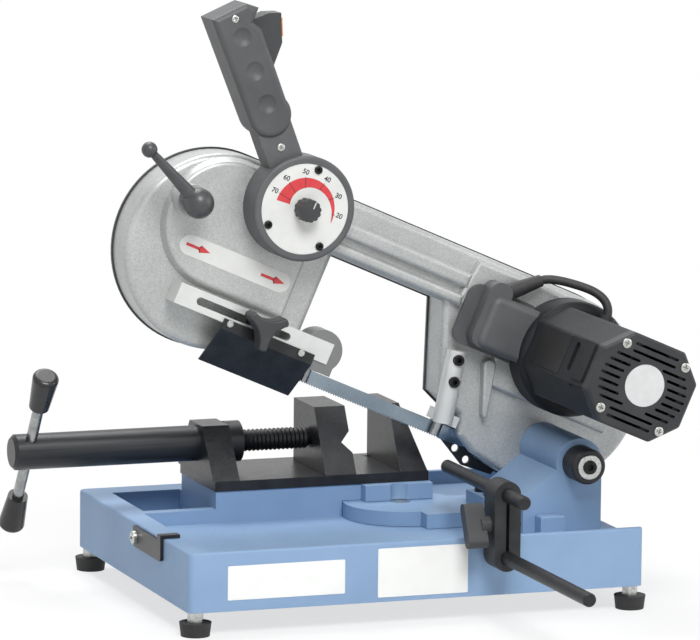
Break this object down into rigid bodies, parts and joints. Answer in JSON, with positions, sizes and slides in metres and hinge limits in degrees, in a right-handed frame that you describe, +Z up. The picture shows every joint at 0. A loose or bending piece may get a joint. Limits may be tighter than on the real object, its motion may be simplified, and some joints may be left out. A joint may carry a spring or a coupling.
{
  "type": "metal cutting band saw",
  "caption": "Bench-top metal cutting band saw: a cast base with a screw vise and chip tray carries a swivelling, hinged bow with wheels, blade, motor and pistol grip.",
  "frame": {"origin": "floor under the middle of the base", "axes": "+X along the base to the motor end, +Y away from the operator, +Z up"},
  "size_m": [0.5679, 0.547, 0.531],
  "materials": {
    "blue_paint": "light blue paint on cast aluminium",
    "silver_paint": "silver-grey metallic paint on cast aluminium",
    "cover_paint": "grey paint on sheet",
    "black_steel": "black paint on steel",
    "bright_steel": "ground steel",
    "zinc_screws": "zinc-plated steel",
    "black_screws": "black oxide steel",
    "blade_steel": "blue-grey spring steel",
    "cast_iron": "bare casting",
    "foot_rubber": "black rubber",
    "tyre_rubber": "black rubber",
    "black_plastic": "fine-grained black plastic",
    "dark_plastic": "dark grey plastic",
    "orange_plastic": "orange plastic",
    "white_dial": "white printed plate",
    "lead_rubber": "black cable sheath",
    "gear_steel": "hobbed steel"
  },
  "bodies": {
    "base": {"base_casting": "blue_paint", "rubber_feet": "foot_rubber", "foot_studs": "zinc_screws", "vise_plate": "black_steel", "base_screws": "black_screws", "vise_stand": "black_steel", "fixed_jaw": "black_steel", "swivel_pin": "zinc_screws", "stop_rod_low": "black_steel"},
    "vise_handle": {"vise_tube": "black_steel", "tommy_bar": "bright_steel", "tommy_knobs": "black_plastic"},
    "vise_jaw": {"moving_jaw": "black_steel", "vise_screw": "bright_steel"},
    "latch_strip": {"latch": "black_steel"},
    "clamp": {"stop_clamp": "black_steel"},
    "stop": {"stop_rod_high": "black_steel"},
    "wing": {"wing_knob": "black_plastic"},
    "arm": {"swivel_arm": "blue_paint", "bow_bracket": "blue_paint", "bracket_screws": "black_screws"},
    "bow": {"bow_casting": "silver_paint", "rear_cover": "cover_paint", "hinge_pin": "bright_steel", "hinge_cap": "black_steel", "bow_screws": "zinc_screws", "socket_screws": "black_screws", "motor_housing": "black_plastic", "motor_stator": "gear_steel", "motor_end_cap": "black_plastic", "switch_box": "dark_plastic", "lead_sleeves": "foot_rubber", "motor_lead": "lead_rubber", "dial_housing": "dark_plastic", "dial_plate": "white_dial", "grip_shell_front": "black_plastic", "grip_shell_back": "black_plastic", "grip_fasteners": "black_screws", "guide_post": "silver_paint", "blade": "blade_steel"},
    "drive": {"drive_wheel": "cast_iron", "drive_tyre": "tyre_rubber", "drive_shaft": "bright_steel", "drive_gear": "gear_steel"},
    "carriage": {"idler_carriage": "gear_steel"},
    "idler": {"idler_wheel": "cast_iron", "idler_tyre": "tyre_rubber"},
    "rotor": {"motor_rotor": "gear_steel"},
    "lever": {"tension_lever": "black_plastic"},
    "speed_dial": {"speed_knob": "black_plastic"},
    "switch_trigger": {"trigger": "dark_plastic"},
    "lock": {"lock_button": "orange_plastic"},
    "guide": {"guide_bar": "bright_steel", "blade_guard": "black_steel", "guard_bolts": "zinc_screws"},
    "clamp_knob": {"guide_knob": "black_plastic"},
    "roller_a": {"left_roller_front": "bright_steel"},
    "roller_b": {"left_roller_back": "bright_steel"},
    "roller_c": {"right_roller_front": "bright_steel"},
    "roller_d": {"right_roller_back": "bright_steel"}
  },
  "joints": [
    {"name": "jaw_slide", "type": "slide", "parent": "base", "child": "vise_jaw", "axis": [1, 0, 0], "range_m": [-0.05, 0.04]},
    {"name": "handle_turn", "type": "hinge", "parent": "base", "child": "vise_handle", "pos_m": [0, 0.077, 0.125], "axis": [1, 0, 0], "range_deg": [-4500, 3600]},
    {"name": "latch_lift", "type": "hinge", "parent": "base", "child": "latch_strip", "pos_m": [-0.2116, -0.02, 0.062], "axis": [1, 0, 0], "range_deg": [-60, 0]},
    {"name": "clamp_slide", "type": "slide", "parent": "base", "child": "clamp", "axis": [0, 1, 0], "range_m": [-0.15, 0.005]},
    {"name": "stop_slide", "type": "slide", "parent": "clamp", "child": "stop", "axis": [0, 1, 0], "range_m": [-0.06, 0.02]},
    {"name": "wing_turn", "type": "hinge", "parent": "clamp", "child": "wing", "pos_m": [0.068, -0.181, 0.0875], "axis": [1, 0, 0], "range_deg": [-180, 180]},
    {"name": "arm_swivel", "type": "hinge", "parent": "base", "child": "arm", "pos_m": [0.046, 0.012, 0.061], "axis": [0, 0, 1], "range_deg": [0, 30]},
    {"name": "bow_hinge", "type": "hinge", "parent": "arm", "child": "bow", "pos_m": [0.1725, -0.05, 0.122], "axis": [0, 1, 0], "range_deg": [-23.5, 20], "stiffness_Nm_per_rad": 40, "springref_deg": 35.52},
    {"name": "drive_spin", "type": "hinge", "parent": "bow", "child": "drive", "pos_m": [0.18143, 0.012, 0.17264], "axis": [0, 1, 0], "continuous": true},
    {"name": "carriage_slide", "type": "slide", "parent": "bow", "child": "carriage", "axis": [0.9171, 0, -0.3987], "range_m": [0, 0.003]},
    {"name": "idler_spin", "type": "hinge", "parent": "carriage", "child": "idler", "pos_m": [-0.13312, 0.012, 0.30941], "axis": [0, 1, 0], "continuous": true},
    {"name": "motor_spin", "type": "hinge", "parent": "bow", "child": "rotor", "pos_m": [0.18914, -0.1, 0.20473], "axis": [0, 1, 0], "continuous": true},
    {"name": "lever_turn", "type": "hinge", "parent": "bow", "child": "lever", "pos_m": [-0.16621, -0.02, 0.35869], "axis": [0, -1, 0], "range_deg": [0, 90]},
    {"name": "speed_turn", "type": "hinge", "parent": "bow", "child": "speed_dial", "pos_m": [-0.06948, -0.05, 0.35044], "axis": [0, -1, 0], "range_deg": [-135, 135]},
    {"name": "trigger_squeeze", "type": "hinge", "parent": "bow", "child": "switch_trigger", "pos_m": [-0.10429, -0.029, 0.47402], "axis": [0, -1, 0], "range_deg": [0, 7], "stiffness_Nm_per_rad": 1.2, "springref_deg": -2.86},
    {"name": "lock_press", "type": "slide", "parent": "switch_trigger", "child": "lock", "axis": [-0.9991, 0, -0.0428], "range_m": [0, 0.003], "stiffness_N_per_m": 300, "springref_m": -0.001},
    {"name": "guide_slide", "type": "slide", "parent": "bow", "child": "guide", "axis": [0.9171, 0, -0.3987], "range_m": [-0.003, 0.05]},
    {"name": "knob_turn", "type": "hinge", "parent": "bow", "child": "clamp_knob", "pos_m": [-0.10566, -0.04, 0.24717], "axis": [0, -1, 0], "range_deg": [-180, 180]},
    {"name": "roller_a_spin", "type": "hinge", "parent": "guide", "child": "roller_a", "pos_m": [-0.04836, 0.00713, 0.19336], "axis": [0.3987, 0, 0.9171], "continuous": true},
    {"name": "roller_b_spin", "type": "hinge", "parent": "guide", "child": "roller_b", "pos_m": [-0.04836, 0.01688, 0.19336], "axis": [0.3987, 0, 0.9171], "continuous": true},
    {"name": "roller_c_spin", "type": "hinge", "parent": "bow", "child": "roller_c", "pos_m": [0.07682, 0.00713, 0.13893], "axis": [0.3987, 0, 0.9171], "continuous": true},
    {"name": "roller_d_spin", "type": "hinge", "parent": "bow", "child": "roller_d", "pos_m": [0.07682, 0.01688, 0.13893], "axis": [0.3987, 0, 0.9171], "continuous": true}
  ],
  "couplings": [
    {"joint": "handle_turn", "follows": "jaw_slide", "rad_per_m": 1570.8},
    {"joint": "idler_spin", "follows": "drive_spin", "ratio": 1},
    {"joint": "motor_spin", "follows": "drive_spin", "ratio": -4.5},
    {"joint": "lever_turn", "follows": "carriage_slide", "rad_per_m": 523.6}
  ]
}
